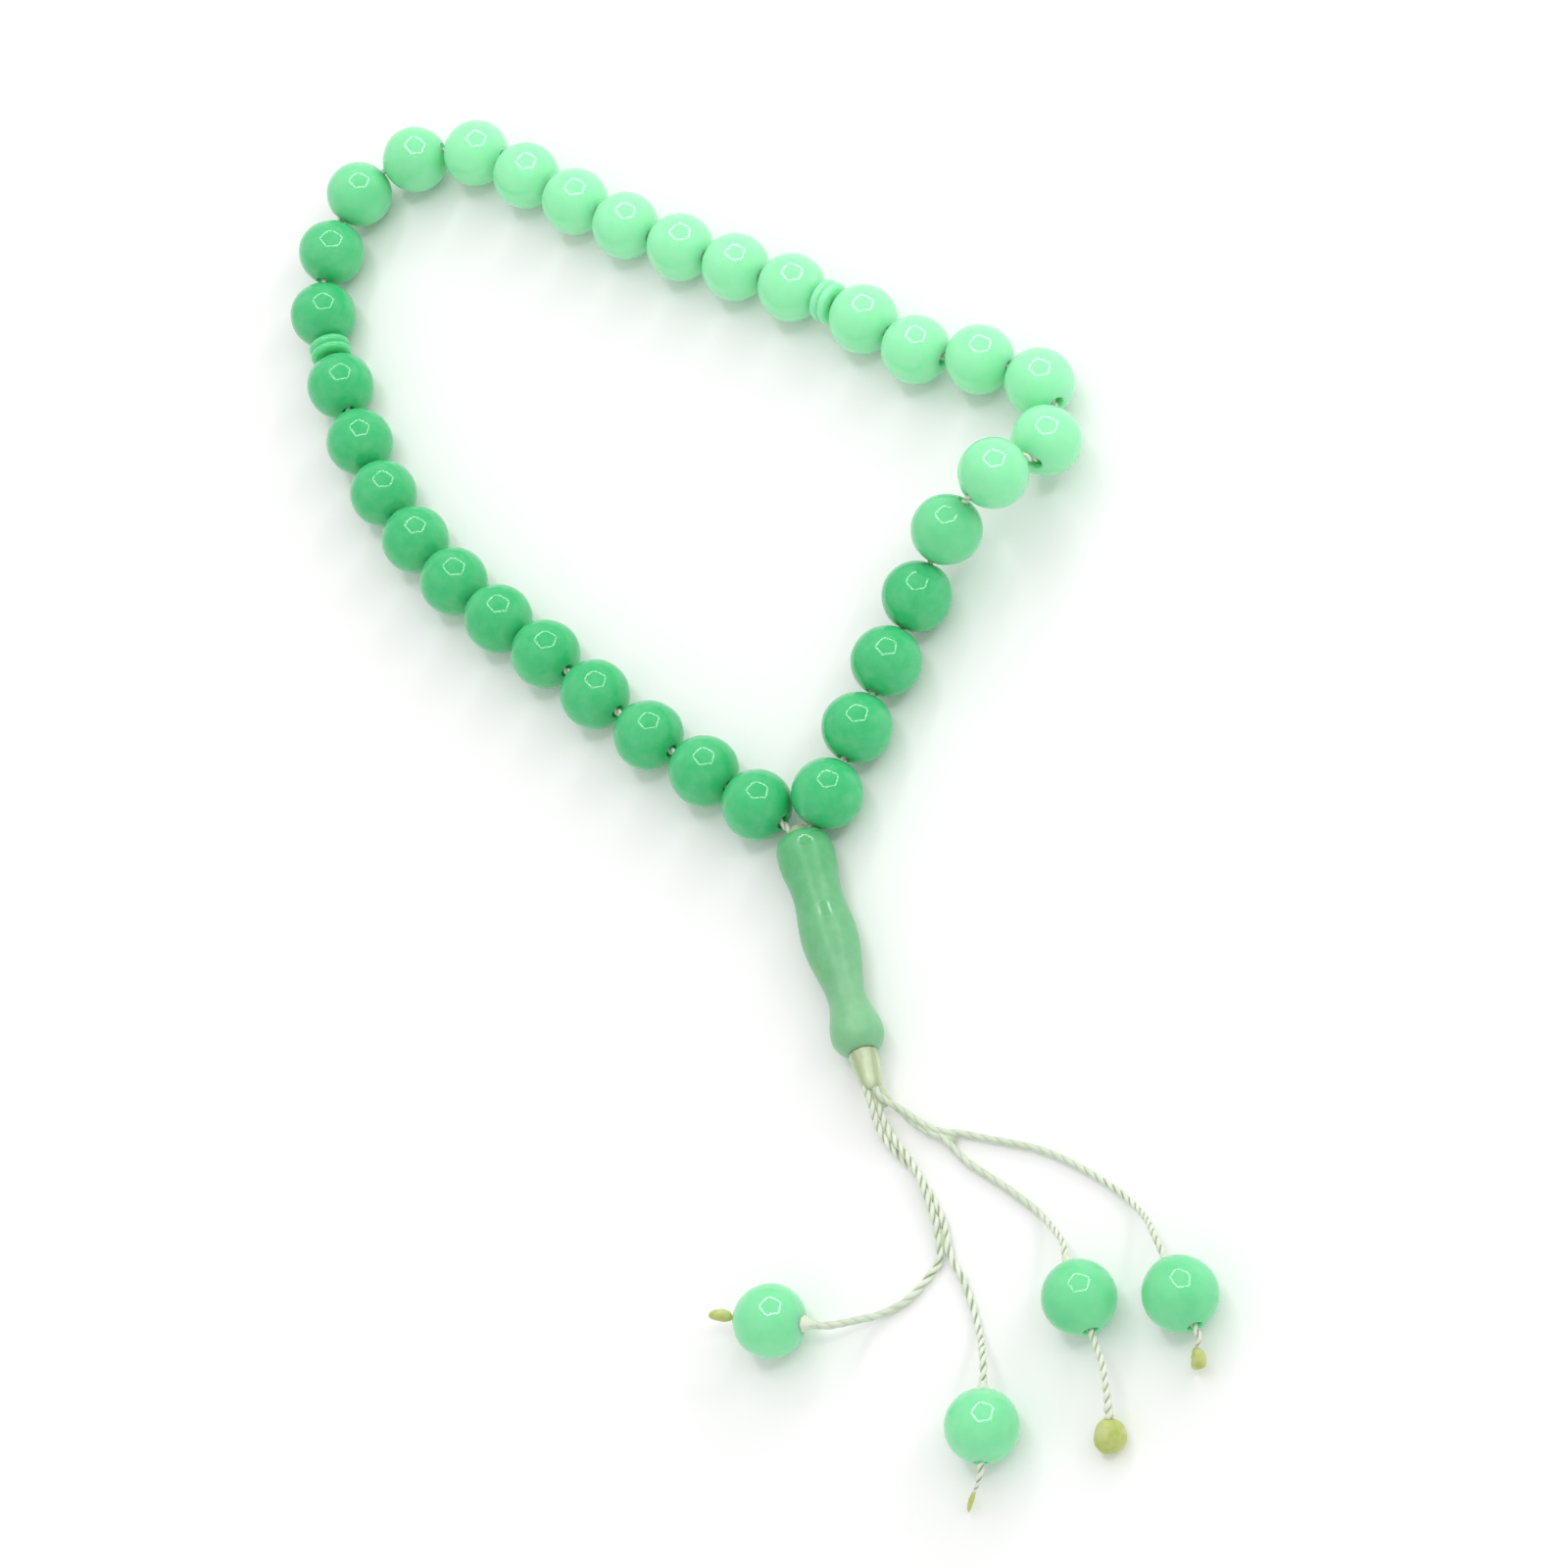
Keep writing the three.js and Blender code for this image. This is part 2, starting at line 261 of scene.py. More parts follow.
def frames(line):
    """The line's direction at each point, and two directions square to it that don't turn round it."""
    ahead = np.gradient(line, axis=0)
    ahead /= np.linalg.norm(ahead, axis=1)[:, None]
    normal = across(ahead[0])[0]
    normals = []
    for direction in ahead:
        normal = unit(normal - direction * (direction @ normal))
        normals.append(normal)
    return ahead, np.array(normals), np.cross(ahead, normals)


def centre_of(node):
    low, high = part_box(node)
    return np.array((low + high) / 2)


# ---- Meshes ----
def mesh_object(name, tubes, looped=False, floats=None, vectors=None):
    """One smooth mesh from tubes, each an array of rings of points. floats and vectors hold a value, or
    three, for each point of each tube, for the materials to read."""
    points, faces, base = [], [], 0
    for rings in tubes:
        count, sides = rings.shape[:2]
        index = base + np.arange(count * sides).reshape(count, sides)
        here = index if looped else index[:-1]
        ahead = np.roll(index, -1, axis=0) if looped else index[1:]
        quads = [here, np.roll(here, -1, axis=1), np.roll(ahead, -1, axis=1), ahead]
        faces += np.stack(quads, axis=-1).reshape(-1, 4).tolist()
        if not looped:
            faces += [index[0][::-1].tolist(), index[-1].tolist()]
        points.append(rings.reshape(-1, 3))
        base += count * sides
    mesh = bpy.data.meshes.new(name)
    mesh.from_pydata(np.vstack(points).tolist(), [], faces)
    for key, values in (floats or {}).items():
        data = mesh.attributes.new(key, "FLOAT", "POINT").data
        flat = np.concatenate([np.ravel(v) for v in values])
        data.foreach_set("value", flat.astype(np.float32))
    for key, values in (vectors or {}).items():
        data = mesh.attributes.new(key, "FLOAT_VECTOR", "POINT").data
        flat = np.concatenate([np.ravel(v) for v in values])
        data.foreach_set("vector", flat.astype(np.float32))
    outward = bmesh.new()
    outward.from_mesh(mesh)
    bmesh.ops.recalc_face_normals(outward, faces=outward.faces)
    outward.to_mesh(mesh)
    outward.free()
    mesh.shade_smooth()
    made = bpy.data.objects.new(name, mesh)
    bpy.context.scene.collection.objects.link(made)
    return made


def lathe(place, axis, outline, sides):
    """Rings of points round an axis, one for each radius and height along the axis in the outline."""
    side, up = across(axis)
    turn = around(sides)
    spokes = np.outer(np.cos(turn), side) + np.outer(np.sin(turn), up)
    return np.array([place + axis * height + spokes * radius for radius, height in outline])


def around(sides):
    return np.arange(sides) * 2 * math.pi / sides


def swollen(rings, place, axis, heights, share):
    """Rings pushed out from their axis by a share of their radius, which may differ from point to point."""
    middles = (place + np.outer(heights, axis))[:, None, :]
    return middles + (rings - middles) * share[..., None]


def glue_values(rings, glaze):
    """What the cord material reads on a piece of glue: no painted shade in a groove, an even glaze, and
    fibres every way.
    """
    even = np.full(rings.shape[:2], glaze)
    return {"floats": {"painted_groove_shade": [0 * even], "glaze": [even]}, "vectors": {"fibre": [rings / MM / 3]}}


def bead_outline():
    """A drilled sphere: round the outside from mouth to mouth, and back through the bore."""
    edge = BORE_RADIUS + MOUTH_ROUNDING
    first = math.asin(edge / BEAD_RADIUS)
    sphere = [
        (BEAD_RADIUS * math.sin(a), BEAD_RADIUS * math.cos(a))
        for a in np.linspace(first, math.pi - first, 44)
    ]
    corner = math.sqrt(BEAD_RADIUS**2 - BORE_RADIUS**2)
    start, end = np.array(sphere[0]), np.array((BORE_RADIUS, corner - MOUTH_ROUNDING))
    middle = np.array((BORE_RADIUS + 0.03 * MM, corner - 0.01 * MM))
    mouth = [
        (1 - t) ** 2 * end + 2 * t * (1 - t) * middle + t**2 * start
        for t in np.linspace(0, 1, 6, endpoint=False)
    ]
    upper = [tuple(p) for p in mouth]
    lower = [(radius, -height) for radius, height in reversed(upper)]
    bore = [(BORE_RADIUS, height) for height in np.linspace(-2.4, 2.4, 5) * MM]
    return upper + sphere + lower + bore


def bead_rings(place, axis, seed):
    """A bead's rings, a few hundredths of a millimetre out of true as a moulded and tumbled bead is."""
    rings = lathe(place, axis, bead_outline(), BEAD_SIDES)
    chance = np.random.default_rng(seed)
    out = rings - place
    outward = out / np.linalg.norm(out, axis=2)[:, :, None]
    swell = np.zeros(rings.shape[:2])
    for size, waves in ((0.022, 2), (0.012, 4), (0.006, 9)):
        for _ in range(3):
            way = unit(chance.normal(size=3))
            swell += size * MM * np.sin(outward @ way * waves + chance.uniform(0, 6.3))
    return rings + outward * swell[:, :, None]


def twisted(line, pitch, diameter, glaze):
    """Two plies twisted round a line, as tubes and the values that the cord material reads. Where glaze is
    1, glue fills the groove and the two plies read as one smooth cord. The pitch, the diameter and the
    glaze have a value for each point of the line."""
    _, normals, binormals = frames(line)
    far = walked(line)
    turn = np.cumsum(2 * math.pi / pitch * np.gradient(far))
    offset = diameter * (0.22 - 0.14 * glaze)
    radius = diameter / 2 - offset + 0.01 * MM
    angles = np.arange(PLY_SIDES) * 2 * math.pi / PLY_SIDES
    tubes, painted_groove_shade, fibre, coat = [], [], [], []
    for half in (0, math.pi):
        out = normals * np.cos(turn + half)[:, None] + binormals * np.sin(turn + half)[:, None]
        middle = line + out * offset[:, None]
        _, right, up = frames(middle)
        spokes = (
            right[:, None, :] * np.cos(angles)[None, :, None]
            + up[:, None, :] * np.sin(angles)[None, :, None]
        )
        tubes.append(middle[:, None, :] + spokes * radius[:, None, None])
        facing_out = np.einsum("ijk,ik->ij", spokes, out)
        # Painted shade: each ply's colour is darkened where it faces the other ply, in the groove between
        # them, and less where glue glazes it.
        painted_groove_shade.append(np.clip(0.5 - facing_out / 0.9, 0, 1) * (1 - 0.8 * glaze)[:, None])
        round_it = angles[None, :] + turn[:, None] + half
        height = np.broadcast_to((far / (6 * MM))[:, None], round_it.shape)
        fibre.append(np.stack([np.cos(round_it), np.sin(round_it), height], axis=-1))
        coat.append(np.broadcast_to(glaze[:, None], round_it.shape))
    return tubes, {"painted_groove_shade": painted_groove_shade, "glaze": coat}, {"fibre": fibre}


# ---- Materials ----
def srgb(red, green, blue):
    """A colour given as on a screen, from 0 to 255."""
    channels = [c / 255 for c in (red, green, blue)]
    return (*[c / 12.92 if c <= 0.04045 else ((c + 0.055) / 1.055) ** 2.4 for c in channels], 1)


class Shader:
    """A material and short ways to add nodes to it."""

    def __init__(self, name, **settings):
        self.material = bpy.data.materials.new(name)
        self.material.use_nodes = True
        self.tree = self.material.node_tree
        self.surface = self.tree.nodes["Principled BSDF"]
        for socket, value in settings.items():
            self.surface.inputs[socket.replace("_", " ")].default_value = value

    def add(self, kind, output=0, inputs=None, **settings):
        node = self.tree.nodes.new(kind)
        for key, value in settings.items():
            setattr(node, key, value)
        for socket, value in (inputs or {}).items():
            if isinstance(value, bpy.types.NodeSocket):
                self.tree.links.new(value, node.inputs[socket])
            else:
                node.inputs[socket].default_value = value
        return node.outputs[output]

    def place(self):
        return self.add("ShaderNodeTexCoord", "Object")

    def attribute(self, name, output="Fac"):
        return self.add("ShaderNodeAttribute", output, attribute_name=name)

    def noise(self, vector, scale, detail=2.0, roughness=0.5):
        inputs = {"Vector": vector, "Scale": scale, "Detail": detail, "Roughness": roughness}
        return self.add("ShaderNodeTexNoise", "Fac", inputs)

    def spread(self, value, low, high, to_low=0.0, to_high=1.0):
        """value, with low to high stretched over to_low to to_high."""
        inputs = {0: value, 1: low, 2: high, 3: to_low, 4: to_high}
        return self.add("ShaderNodeMapRange", 0, inputs)

    def maths(self, operation, a, b):
        return self.add("ShaderNodeMath", 0, {0: a, 1: b}, operation=operation)

    def mix(self, share, a, b, blend="MIX"):
        inputs = {0: share, 6: a, 7: b}
        return self.add("ShaderNodeMix", 2, inputs, data_type="RGBA", blend_type=blend)

    def bump(self, height, strength, distance):
        inputs = {"Height": height, "Strength": strength, "Distance": distance}
        return self.add("ShaderNodeBump", 0, inputs)

    def join(self, **sockets):
        for socket, value in sockets.items():
            self.tree.links.new(value, self.surface.inputs[socket.replace("_", " ")])
        return self.material


def resin(name, deep, pale, shine):
    """Milky polished resin. The tone value of each point goes from the deep colour at 0 to the pale one at
    1, and satin from polished at 0 to matt at 1."""
    shader = Shader(
        name,
        IOR=1.5,
        Subsurface_Weight=1.0,
        Subsurface_Radius=(0.45, 1.0, 0.6),
        Subsurface_Scale=0.0024,
        Specular_IOR_Level=shine,
    )
    place = shader.place()
    clouds = shader.noise(place, 170, 3.0, 0.5)
    wisps = shader.noise(place, 560, 4.0, 0.55)
    tone = shader.maths("ADD", shader.attribute("tone"), shader.spread(clouds, 0.3, 0.7, -0.08, 0.08))
    colour = shader.mix(tone, srgb(*deep), srgb(*pale))
    milky = shader.mix(shader.spread(wisps, 0.4, 0.75, 0, 0.1), colour, srgb(205, 248, 215))
    polish = shader.spread(shader.noise(place, 450, 3.0), 0.3, 0.7, 0.05, 0.1)
    rough = shader.maths("ADD", polish, shader.maths("MULTIPLY", shader.attribute("satin"), 0.3))
    dimples = shader.noise(place, 300, 2.0, 0.4)
    return shader.join(Base_Color=milky, Roughness=rough, Normal=shader.bump(dimples, 0.1, 0.0001))


def cord_material(name, bright, glazed, shade, glazed_roughness):
    """Twisted cord: fine fibres, painted shade in the groove between the plies, and glue where it is glazed.
    """
    shader = Shader(name, Sheen_Weight=0.25, Sheen_Roughness=0.4, Subsurface_Weight=0.25)
    shader.surface.inputs["Subsurface Radius"].default_value = (1.0, 1.0, 0.8)
    shader.surface.inputs["Subsurface Scale"].default_value = 0.0003
    glaze = shader.attribute("glaze")
    fibre = shader.attribute("fibre", "Vector")
    strands = shader.noise(fibre, 5.0, 3.0, 0.6)
    patches = shader.noise(shader.place(), 350, 2.0)
    body = shader.mix(glaze, srgb(*bright), srgb(*glazed))
    body = shader.mix(shader.spread(patches, 0.35, 0.7, 0, 0.35), body, srgb(*shade))
    streaked = shader.mix(shader.spread(strands, 0.35, 0.65, 0.0, 0.3), body, srgb(*shade))
    # Painted shade: the groove between the plies is mixed towards a darker copy of the shade colour.
    colour = shader.mix(shader.attribute("painted_groove_shade"), streaked, srgb(*[c * 0.74 for c in shade]))
    rough = shader.add("ShaderNodeMapRange", 0, {0: glaze, 3: 0.62, 4: glazed_roughness})
    return shader.join(
        Base_Color=colour, Roughness=rough, Normal=shader.bump(strands, 0.5, 0.00006)
    )


def sealed_material():
    """Melted cord ends and hardened glue: waxy, olive and a little see-through."""
    shader = Shader(
        "sealed_cord_end", Subsurface_Weight=0.7, Subsurface_Radius=(1.0, 1.0, 0.4), Subsurface_Scale=0.0005
    )
    place = shader.place()
    blotches = shader.noise(place, 620, 3.0, 0.6)
    grain = shader.noise(place, 2600, 3.0)
    colour = shader.mix(shader.spread(blotches, 0.35, 0.65), srgb(200, 206, 140), srgb(176, 190, 96))
    rough = shader.spread(grain, 0.3, 0.7, 0.34, 0.55)
    return shader.join(Base_Color=colour, Roughness=rough, Normal=shader.bump(blotches, 0.4, 0.0002))


DEEP, PALE = (62, 190, 122), (156, 240, 186)
RESIN_DEEP = resin("resin_green", DEEP, PALE, 0.5)
RESIN_PALE = resin("resin_pale_green", DEEP, PALE, 0.8)
RESIN_HEAD = resin("resin_head", (82, 176, 114), (130, 188, 141), 0.75)
CORD = cord_material("tassel_cord", (240, 245, 228), (216, 226, 206), (192, 206, 174), 0.35)
GLUED_CORD = cord_material("glued_cord", (222, 232, 205), (190, 206, 166), (156, 174, 130), 0.85)
SEALED = sealed_material()


def finish_piece(made, material, body, slot, *replaced):
    made.data.materials.append(material)
    if replaced:
        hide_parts(*replaced)
    if body:
        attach(made, body)
    return made


# ---- Tassel strands ----
head = next(joint for joint in frame["joints"] if joint["child"] == "imame_head")
HEAD_AXIS = unit(head["axis"])
HEAD_TOP = mm((-22.2, -41.7, 3.2))
HEAD_FOOT = HEAD_TOP + HEAD_AXIS * HEAD_LENGTH
NECK_END = HEAD_FOOT + HEAD_AXIS * NECK_LENGTH


def pair_line(strand):
    """The middle of a pair, and one strand of it: it starts in the neck and winds slowly round the middle."""
    side = across(HEAD_AXIS)[0]
    lean = 1 if strand["trunk"] == "left" else -1
    first = mm(TRUNKS[strand["trunk"]][0])
    start = NECK_END - HEAD_AXIS * START_IN_NECK + side * START_OFFSET * np.sign((first - NECK_END) @ side)
    middle = smooth_line(np.vstack([start, mm(TRUNKS[strand["trunk"]])]), PAIR_STEP)
    _, normals, binormals = frames(middle)
    side_at_end = unit(strand["side"])
    end_turn = math.atan2(side_at_end @ binormals[-1], side_at_end @ normals[-1])
    turn = end_turn + lean * 2 * math.pi * (walked(middle) - walked(middle)[-1]) / PAIR_PITCH
    out = normals * np.cos(turn)[:, None] + binormals * np.sin(turn)[:, None]
    near_neck = np.exp(-(((walked(middle) - HUG_AT) / HUG_SPREAD) ** 2))
    return middle, middle + out * PAIR_OFFSET[strand["trunk"]] + np.outer(near_neck, mm(strand["hug"]))


strand_lines = []
trunk_middles = {}
for number, strand in enumerate(STRANDS, 1):
    bead = centre_of(f"tassel_bead_{number}")
    heading = math.radians(strand["heading"])
    forward = np.array((math.cos(heading), math.sin(heading), 0))
    trunk_middles[strand["trunk"]], pair = pair_line(strand)
    through = [
        bead - forward * (BEAD_RADIUS + strand["lead_in"] * MM),
        bead - forward * BEAD_RADIUS,
        bead,
        bead + forward * BEAD_RADIUS,
        bead + forward * (BEAD_RADIUS + strand["lead_out"] * MM),
    ]
    tail = mm(strand["tail"]).reshape(-1, 3)
    control = np.vstack([pair[:-2:3], pair[-1:], mm(strand["route"]), through, tail])
    control[:, 2] = np.maximum(control[:, 2], LOWEST_CORD_LINE)
    line = smooth_line(control, CORD_STEP)
    branch_at = walked(pair)[-1]
    distance, amount = zip(*strand["glaze"])
    glaze = np.interp((walked(line) - branch_at) / MM, distance, amount)
    pitch = np.interp((walked(line) - branch_at) / MM, *zip(*STRAND_PITCHES)) * MM
    thickness = np.full(len(line), strand["thickness"] * MM)
    thickness[-TAPERED_POINTS:] *= np.linspace(1, strand["end_thickness"], TAPERED_POINTS)
    tubes, floats, vectors = twisted(line, pitch, thickness, glaze)
    made = mesh_object(f"twisted_strand_{number}", tubes, floats=floats, vectors=vectors)
    finish_piece(made, CORD, None, "tassel_cord", f"strand_{number}")
    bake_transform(made)
    strand_lines.append((made, line, branch_at))
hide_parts("trunk_left")
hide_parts("trunk_right")

# ---- Neck ----
neck_outline = [
    (0.55, -2.0), (1.25, -1.9), (1.3, -0.2), (1.55, 0.1), (1.5, 0.7), (1.4, 1.5), (1.28, 2.4),
    (1.18, 3.3), (1.1, 3.9), (0.98, 4.2), (0.8, 4.4), (0.4, 4.5),
]
heights = np.interp(np.linspace(0, 1, 60), np.linspace(0, 1, len(neck_outline)), [h for _, h in neck_outline])
radii = np.interp(heights, [h for _, h in neck_outline], [r for r, _ in neck_outline])
neck = lathe(HEAD_FOOT, HEAD_AXIS, list(zip(radii * MM, heights * MM)), HEAD_SIDES)
turn = around(HEAD_SIDES)
depth = np.clip(heights / 4, 0, 1)[:, None] * 0.06 + 0.015
ridge = np.cos(4 * (turn[None, :] - 1.83) + 0.2 * (heights[:, None] - 2))
ridges = 1 + depth * ridge
ridges += 0.022 * np.sin(11 * turn[None, :] + 0.9 * heights[:, None])
ridges += 0.016 * np.sin(23 * turn[None, :] - 0.7 * heights[:, None])
neck = swollen(neck, HEAD_FOOT, HEAD_AXIS, heights * MM, ridges)
fibre = np.stack(np.broadcast_arrays(1.3 * np.cos(turn), 1.3 * np.sin(turn), heights[:, None] / 5), axis=-1)
# The neck's colour is painted from its ridges: painted shade darkens the grooves and turns them olive, and a
# painted highlight makes the crests paler.
made = mesh_object(
    "glued_neck",
    [neck],
    floats={"painted_groove_shade": [np.clip(-ridge, 0, 1) * 0.18], "glaze": [np.clip(0.6 - 0.45 * ridge, 0, 1)]},
    vectors={"fibre": [fibre]},
)
finish_piece(made, GLUED_CORD, "string", "tassel_cord", "tassel_neck")


# ---- Glue webs in the crotches of the cords ----
def web(name, line_a, line_b, spare):
    """Hardened glue between two cords that part, one ring for each pair of points. It is thick where they
    touch and thins to a hollow edge, and spare is how far it reaches past the middle of each cord."""
    turn = around(WEB_SIDES)
    rings = []
    for share, a, b in zip(np.linspace(0, 1, len(line_a)), line_a, line_b):
        middle, half = (a + b) / 2, np.linalg.norm(a - b) / 2
        side = unit(a - b)
        ahead = unit(line_a[-1] + line_b[-1] - line_a[0] - line_b[0])
        up = unit(np.cross(side, ahead))
        thick = (0.36 - 0.16 * share) * MM
        back = ahead * share * 0.7 * half
        rings.append(
            middle
            + np.outer(np.cos(turn), side) * (half + spare)
            + np.outer(np.sin(turn), up) * thick
            - np.outer(np.sin(turn) ** 2, back)
        )
    rings = np.array(rings)
    made = mesh_object(name, [rings], **glue_values(rings, WEB_GLAZE))
    return finish_piece(made, GLUED_CORD, "string", "tassel_cord")


def near_branch(number, before, after):
    """A strand's points from before to after its branch, both in millimetres."""
    _, line, branch_at = strand_lines[number - 1]
    wanted = branch_at + np.linspace(-before, after, 14) * MM
    return np.column_stack([np.interp(wanted, walked(line), line[:, k]) for k in range(3)])


web("glue_web_left", near_branch(1, 1.5, 0.9), near_branch(2, 1.5, 0.9), 0.05 * MM)
web("glue_web_right", near_branch(3, 2.5, 1.9), near_branch(4, 2.5, 1.9), 0.15 * MM)
web("glue_web_top", trunk_middles["left"][4:13], trunk_middles["right"][4:13], 0)

# ---- Beads, dividers and head ----
for joint in frame["joints"]:
    child = joint["child"]
    if child.startswith("counting_bead_"):
        number = int(child[-2:])
        pale = FIRST_PALE_BEAD <= number <= LAST_PALE_BEAD
        tone = np.interp(number, TONED_BEADS, BEAD_TONES)
        slot = "bead_resin_pale" if pale else "bead_resin_deep"
        name = f"resin_bead_{number:02d}"
    elif child.startswith("tassel_bead_"):
        number = TASSEL_SEEDS + int(child[-1])
        tone = TASSEL_TONES[int(child[-1]) - 1]
        slot = "bead_resin_pale"
        name = f"resin_{child}"
    else:
        continue
    rings = bead_rings(centre_of(child), unit(joint["axis"]), number)
    tones = np.full(rings.shape[:2], tone)
    made = mesh_object(name, [rings], looped=True, floats={"tone": [tones]})
    finish_piece(made, RESIN_PALE if tone > PALE_FROM_TONE else RESIN_DEEP, child, slot, child)

divider_outline = [
    (0.8, 0.9), (0.86, 1.03), (1.0, 1.1), (1.6, 1.1), (2.0, 1.06), (2.3, 0.95), (2.46, 0.75), (2.5, 0.5),
    (2.42, 0.25), (2.2, 0.05), (2.12, 0), (2.2, -0.05), (2.42, -0.25), (2.5, -0.5), (2.46, -0.75),
    (2.3, -0.95), (2.0, -1.06), (1.6, -1.1), (1.0, -1.1), (0.86, -1.03), (0.8, -0.9), (0.8, 0),
]
for joint in frame["joints"]:
    child = joint["child"]
    if child.startswith("divider_disc_"):
        rings = lathe(centre_of(child), unit(joint["axis"]), mm(divider_outline), BEAD_SIDES)
        tones = np.full(rings.shape[:2], DIVIDER_TONES[int(child[-1]) - 1])
        made = mesh_object(f"resin_{child}", [rings], looped=True, floats={"tone": [tones]})
        finish_piece(made, RESIN_DEEP, child, "bead_resin_pale", child)


def patchy_satin(rings):
    """1 where the head bead is satin, and 0 in two glossier patches on its upper side."""
    satin = np.ones(rings.shape[:2])
    for depth, radius, size in ((1.7, 3.15, 1.0), (10.6, 3.0, 0.95)):
        spot = HEAD_TOP + (HEAD_AXIS * depth + GLOSSY_SIDE * radius) * MM
        satin -= np.exp(-((np.linalg.norm(rings - spot, axis=2) / (size * MM)) ** 6))
    return satin


GLOSSY_SIDE = unit(np.cross(HEAD_AXIS, np.cross((0.33, -0.23, 0.92), HEAD_AXIS)))
head_points = [
    (1.75, 0), (2.1, 0.03), (2.45, 0.2), (2.75, 0.5), (3.0, 1.0), (3.15, 1.6), (3.2, 2.3), (3.2, 3.2),
    (3.12, 4.2), (2.95, 5.2), (2.78, 6.5), (2.72, 7.7), (2.8, 8.9), (2.95, 10.2), (3.1, 11.5), (3.15, 12.8),
    (3.1, 14), (2.95, 15.2), (2.72, 16.4), (2.45, 17.7), (2.22, 18.9), (2.12, 20), (2.15, 21), (2.35, 22),
    (2.65, 23), (2.85, 23.9), (2.93, 24.7), (2.85, 25.4), (2.6, 26), (2.25, 26.5), (1.9, 26.85), (1.6, 27),
]
outside = smooth_line([(r, h, 0) for r, h in head_points], 0.25)[:, :2]
head_bore = [(1.42, 26.95), (1.35, 26.8), (1.35, 14), (1.35, 0.7), (1.4, 0.3), (1.55, 0.08)]
head_outline = [*map(tuple, outside), *head_bore]
rings = lathe(HEAD_TOP, HEAD_AXIS, mm(head_outline), HEAD_SIDES)
head_heights = np.array([height for _, height in head_outline])[:, None] + np.zeros(HEAD_SIDES)
head_tones = np.clip((head_heights - 4) / 23, 0, 1)
head_floats = {"tone": [head_tones], "satin": [patchy_satin(rings)]}
made = mesh_object("resin_head", [rings], looped=True, floats=head_floats)
finish_piece(made, RESIN_HEAD, "imame_head", "head_resin", "imame_head")

# ---- Loop thread: from one leg in the head bead, through every bead, and back into it ----
stops = [j for j in frame["joints"] if j["child"].startswith(("counting_bead_", "divider_disc_"))]
side = np.cross(HEAD_AXIS, (0, 0, 1))
first_side = np.sign((centre_of("counting_bead_01") - HEAD_TOP) @ side)


def leg(which, depth):
    return HEAD_TOP + side * which * LEG_OFFSET + HEAD_AXIS * depth


route = [leg(first_side, LEG_DEPTH), leg(first_side, 8 * MM), leg(first_side, 0.4 * MM)]
for joint in stops:
    half = BEAD_RADIUS - 1.1 * MM if "bead" in joint["child"] else 0.6 * MM
    middle, axis = centre_of(joint["child"]), unit(joint["axis"])
    route += [middle - axis * half, middle, middle + axis * half]
route += [leg(-first_side, 0.4 * MM), leg(-first_side, 8 * MM), leg(-first_side, LEG_DEPTH)]
line = smooth_line(route, CORD_STEP)
every = np.ones(len(line))
tubes, floats, vectors = twisted(line, THREAD_PITCH * every, THREAD_DIAMETER * every, THREAD_GLAZE * every)
thread = mesh_object("twisted_thread", tubes, floats=floats, vectors=vectors)
finish_piece(thread, CORD, "string", "loop_thread", "loop_thread")


# ---- Sealed and knotted ends ----
def bean(name, start, end, width, height, bend, seed, body, replaced, power=2.0):
    """A lumpy rounded blob from start to end, bent sideways in its middle."""
    start, end = mm(start), mm(end)
    axis = unit(end - start)
    length = float(np.linalg.norm(end - start))
    side, up = across(axis)
    chance = np.random.default_rng(seed)
    turn = around(BLOB_SIDES)
    rings = []
    for t in (1 - np.cos(np.linspace(0.12, math.pi - 0.12, 26))) / 2:
        full = (1 - abs(2 * t - 1) ** power) ** 0.5
        middle = start + axis * length * t + side * bend * MM * (1 - (2 * t - 1) ** 2)
        rings.append(
            middle
            + np.outer(np.cos(turn), side) * width / 2 * MM * full
            + np.outer(np.sin(turn), up) * height / 2 * MM * full
        )
    rings = np.array(rings)
    middle = (start + end) / 2
    outward = (rings - middle) / np.linalg.norm(rings - middle, axis=2)[:, :, None]
    lumps = sum(
        size * np.sin(outward @ unit(chance.normal(size=3)) * waves + chance.uniform(0, 6.3))
        for size, waves in ((0.05, 3), (0.035, 5), (0.02, 8))
    )
    rings = rings + outward * (lumps * width / 2 * MM)[:, :, None]
    return finish_piece(mesh_object(name, [rings]), SEALED, body, "sealed_end", replaced)


ends = [
    bean("seal_1", (-63.6, -77.3, 3.9), (-65.3, -75.3, 4.4), 1.35, 1.25, 0.1, 1, "strand_1", "end_blob_1"),
    bean(
        "seal_2", (-57.5, -110.1, 2.4), (-59.8, -110.5, 0.5),
        0.62, 0.6, 0.1, 2, "strand_2", "end_tip_2", 1.6,
    ),
    bean(
        "seal_3", (-42.4, -114.9, 1.85), (-45.1, -117.6, 1.4),
        3.25, 2.95, 0, 3, "strand_3", "end_knot_3", 2.2,
    ),
    bean("seal_4", (-31.2, -116.8, 2.9), (-32.9, -117.5, 1), 1.65, 1.4, -0.45, 4, "strand_4", "end_knot_4"),
]

